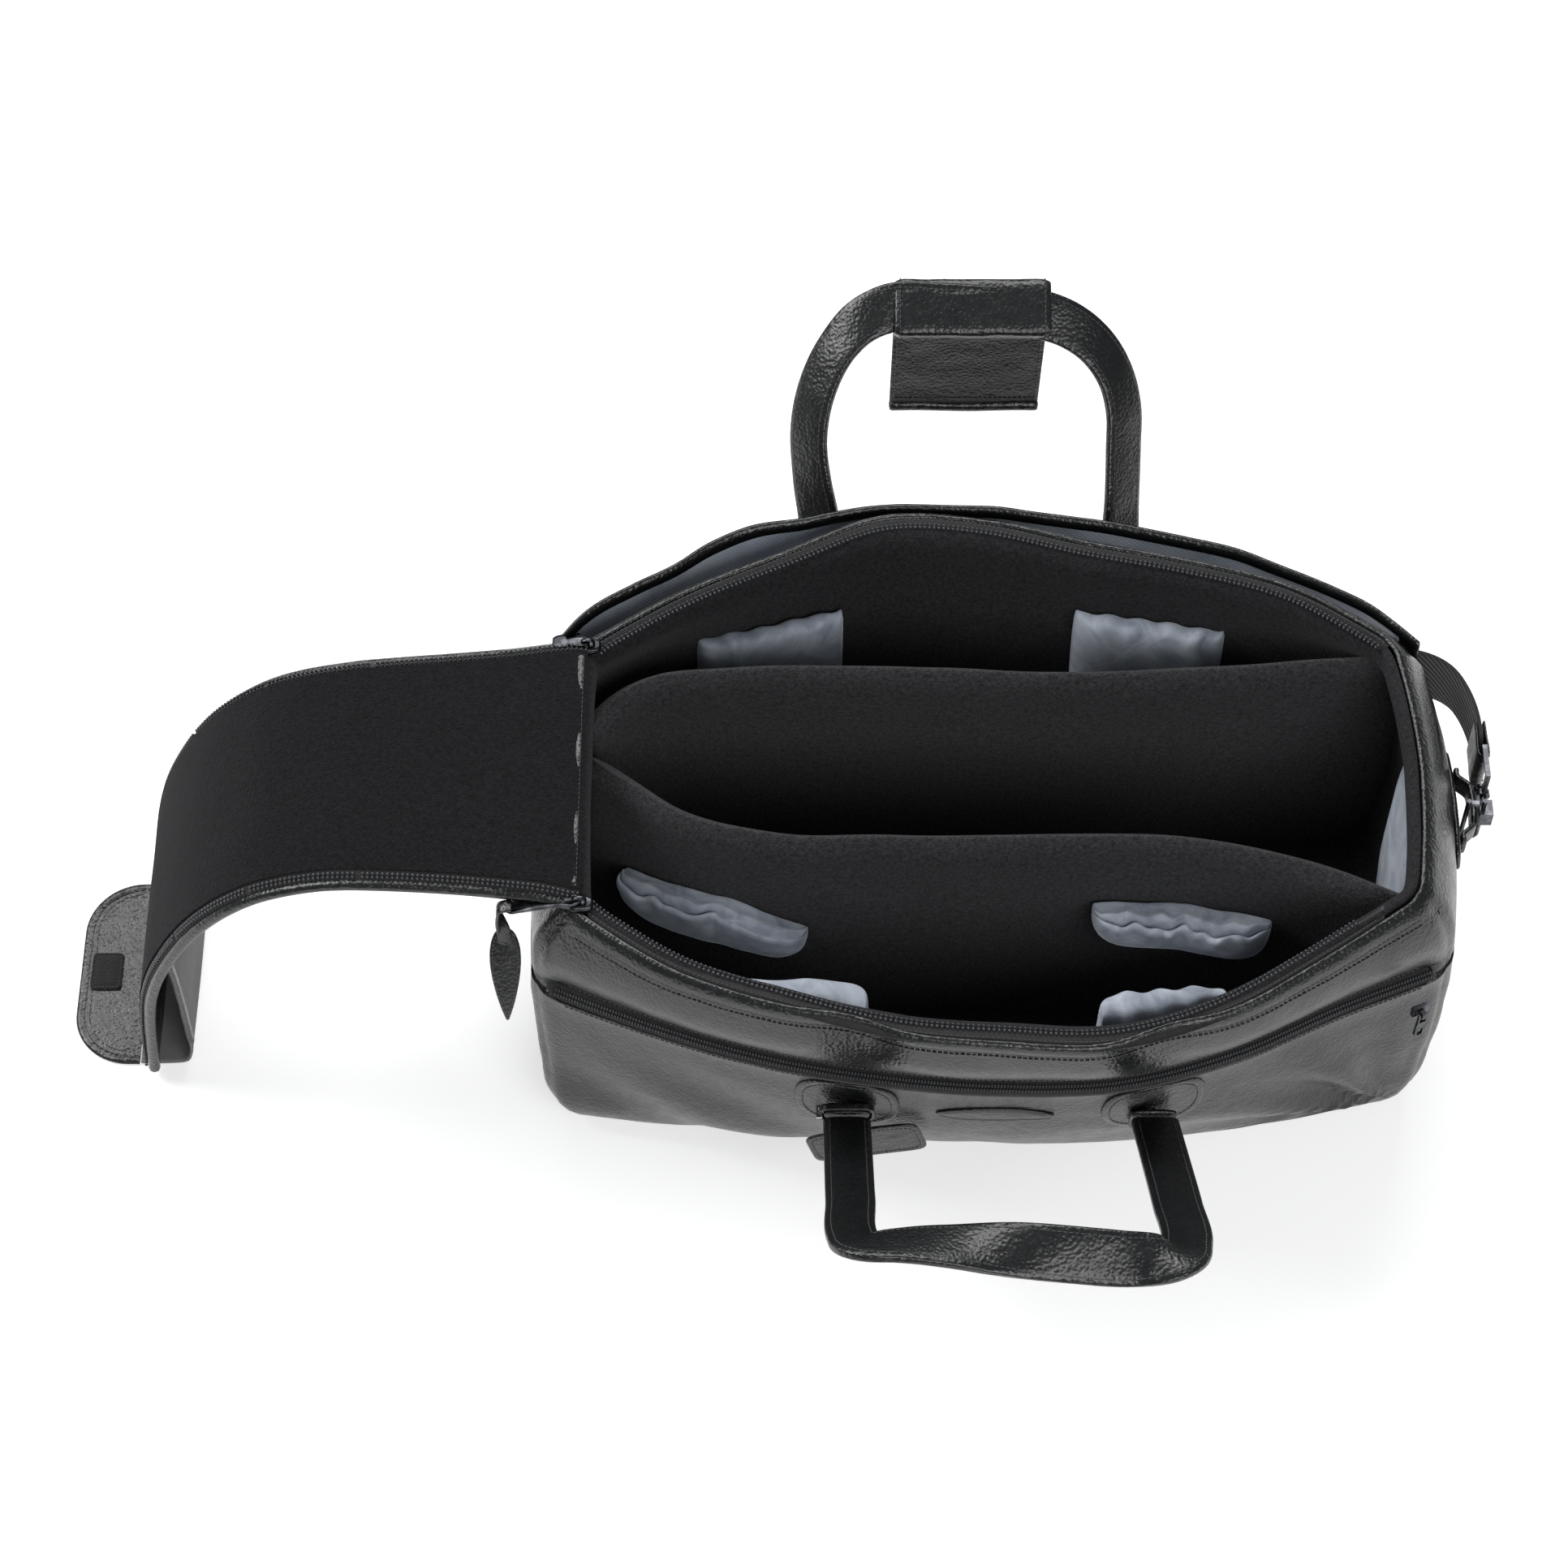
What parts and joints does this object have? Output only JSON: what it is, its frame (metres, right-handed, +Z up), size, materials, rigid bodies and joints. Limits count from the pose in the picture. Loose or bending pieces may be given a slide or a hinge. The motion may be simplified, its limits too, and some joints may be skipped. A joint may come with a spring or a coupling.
{
  "type": "trumpet case",
  "caption": "Soft leather gig bag for several trumpets with a zipped mouth, long padded lid folded open over one end, padded dividers, two carrying handles and a shoulder strap.",
  "frame": {"origin": "on the floor under the middle of the bag's body", "axes": "+X along the bag to its right end, +Y to its back, +Z up"},
  "size_m": [0.899, 0.6906, 0.3052],
  "materials": {
    "leather_black": "soft black garment leather, fine grain, slight sheen",
    "board": "plain stiffener board",
    "pile_lining": "matt black knitted pile on foam",
    "velvet": "blue-grey velvet on foam",
    "zip_tape": "black twill zip tape with moulded black teeth",
    "hook_and_loop": "black hook-and-loop",
    "webbing": "coarse black woven webbing",
    "zip_metal": "black-coated zinc die-casting",
    "gunmetal": "gunmetal-plated steel wire and castings",
    "nickel": "nickel-plated wire"
  },
  "bodies": {
    "bag": {"base_panel": "leather_black", "front_wall": "leather_black", "front_band": "leather_black", "front_pocket_panel": "leather_black", "rear_wall": "leather_black", "slip_pocket_panel": "leather_black", "left_end": "leather_black", "right_end": "leather_black", "end_tabs": "leather_black", "strap_ends": "leather_black", "lid_fold": "leather_black", "handle_anchors": "leather_black", "tag_strap": "leather_black", "base_board": "board", "floor_lining": "pile_lining", "left_lining": "pile_lining", "right_lining": "pile_lining", "front_lining": "pile_lining", "rear_lining": "pile_lining", "rear_divider": "pile_lining", "front_divider": "pile_lining", "wall_pads": "velvet", "divider_pouches": "velvet", "end_pads": "velvet", "front_mouth_zip": "zip_tape", "rear_mouth_zip": "zip_tape", "pocket_zip": "zip_tape", "shoulder_strap": "webbing", "mouth_sliders": "zip_metal", "strap_frames": "gunmetal", "tag_buckle": "nickel"},
    "lid_1": {"lid_skin_1": "leather_black", "lid_lining_1": "pile_lining", "lid_zip_1": "zip_tape"},
    "lid_2": {"lid_skin_2": "leather_black", "lid_lining_2": "pile_lining", "lid_zip_2": "zip_tape"},
    "lid_3": {"lid_skin_3": "leather_black", "lid_lining_3": "pile_lining", "lid_zip_3": "zip_tape"},
    "lid_4": {"lid_skin_4": "leather_black", "lid_lining_4": "pile_lining", "lid_zip_4": "zip_tape", "end_pocket": "leather_black"},
    "tongue": {"tongue": "leather_black", "tongue_patch": "hook_and_loop"},
    "front_handle": {"front_handle": "leather_black"},
    "rear_handle": {"rear_handle": "leather_black", "handle_wrap": "leather_black"},
    "wrap_flap": {"wrap_flap": "leather_black"},
    "front_pull": {"front_pull": "zip_metal"},
    "pull_leaf": {"pull_leaf": "leather_black"},
    "rear_pull": {"rear_pull": "zip_metal"},
    "pocket_slider": {"pocket_slider": "zip_metal"},
    "pocket_pull": {"pocket_pull": "zip_metal"},
    "left_hook": {"left_hook": "gunmetal"},
    "left_hook_gate": {"left_hook_gate": "gunmetal"},
    "right_hook": {"right_hook": "gunmetal"},
    "right_hook_gate": {"right_hook_gate": "gunmetal"},
    "luggage_tag": {"luggage_tag": "leather_black"}
  },
  "joints": [
    {"name": "lid_hinge", "type": "hinge", "parent": "bag", "child": "lid_1", "pos_m": [-0.256, 0, 0.246], "axis": [0, 1, 0], "range_deg": [0, 175]},
    {"name": "lid_bend_2", "type": "hinge", "parent": "lid_1", "child": "lid_2", "pos_m": [-0.406, 0, 0.241], "axis": [0, 1, 0], "range_deg": [0, 24]},
    {"name": "lid_bend_3", "type": "hinge", "parent": "lid_2", "child": "lid_3", "pos_m": [-0.46995, 0, 0.21253], "axis": [0, 1, 0], "range_deg": [0, 28]},
    {"name": "lid_bend_4", "type": "hinge", "parent": "lid_3", "child": "lid_4", "pos_m": [-0.51551, 0, 0.15422], "axis": [0, 1, 0], "range_deg": [0, 30]},
    {"name": "tongue_hinge", "type": "hinge", "parent": "lid_4", "child": "tongue", "pos_m": [-0.54817, 0, 0.0026], "axis": [0, 1, 0], "range_deg": [0, 90]},
    {"name": "front_handle_swing", "type": "hinge", "parent": "bag", "child": "front_handle", "pos_m": [0, -0.17707, 0.128], "axis": [1, 0, 0], "range_deg": [-44, 70]},
    {"name": "rear_handle_swing", "type": "hinge", "parent": "bag", "child": "rear_handle", "pos_m": [-0.01, 0.18884, 0.128], "axis": [1, 0, 0], "range_deg": [-59, 26]},
    {"name": "wrap_flap_swing", "type": "hinge", "parent": "rear_handle", "child": "wrap_flap", "pos_m": [-0.01, 0.33318, 0.28078], "axis": [1, 0, 0], "range_deg": [-38, 80]},
    {"name": "front_pull_hinge", "type": "hinge", "parent": "bag", "child": "front_pull", "pos_m": [-0.252, -0.093, 0.2469], "axis": [0, 1, 0], "range_deg": [0, 120]},
    {"name": "pull_leaf_swing", "type": "hinge", "parent": "front_pull", "child": "pull_leaf", "pos_m": [-0.29836, -0.093, 0.23705], "axis": [0, 1, 0], "range_deg": [0, 60]},
    {"name": "rear_pull_hinge", "type": "hinge", "parent": "bag", "child": "rear_pull", "pos_m": [-0.252, 0.093, 0.2469], "axis": [0, 1, 0], "range_deg": [0, 120]},
    {"name": "pocket_slider_run", "type": "slide", "parent": "bag", "child": "pocket_slider", "axis": [-0.919, -0.3942, 0], "range_m": [0, 0.04]},
    {"name": "pocket_pull_hinge", "type": "hinge", "parent": "pocket_slider", "child": "pocket_pull", "pos_m": [0.25452, -0.12624, 0.168], "axis": [-0.919, -0.3942, 0], "range_deg": [0, 120]},
    {"name": "left_hook_swivel", "type": "hinge", "parent": "bag", "child": "left_hook", "pos_m": [-0.3014, 0.018, 0.19], "axis": [0, 1, 0], "range_deg": [-4, 4]},
    {"name": "left_hook_gate", "type": "hinge", "parent": "left_hook", "child": "left_hook_gate", "pos_m": [-0.2962, 0.004, 0.201], "axis": [0, 1, 0], "range_deg": [0, 20], "stiffness_Nm_per_rad": 0.01},
    {"name": "right_hook_swivel", "type": "hinge", "parent": "bag", "child": "right_hook", "pos_m": [0.3014, 0.018, 0.19], "axis": [0, 1, 0], "range_deg": [-4, 4]},
    {"name": "right_hook_gate", "type": "hinge", "parent": "right_hook", "child": "right_hook_gate", "pos_m": [0.2962, 0.004, 0.201], "axis": [0, -1, 0], "range_deg": [0, 20], "stiffness_Nm_per_rad": 0.01},
    {"name": "luggage_tag_swing", "type": "hinge", "parent": "bag", "child": "luggage_tag", "pos_m": [-0.085, -0.17137, 0.1178], "axis": [1, 0, 0], "range_deg": [-60, 3]}
  ],
  "couplings": [
    {"joint": "lid_bend_2", "follows": "lid_hinge", "ratio": 0.13714},
    {"joint": "lid_bend_3", "follows": "lid_hinge", "ratio": 0.16},
    {"joint": "lid_bend_4", "follows": "lid_hinge", "ratio": 0.17143}
  ]
}
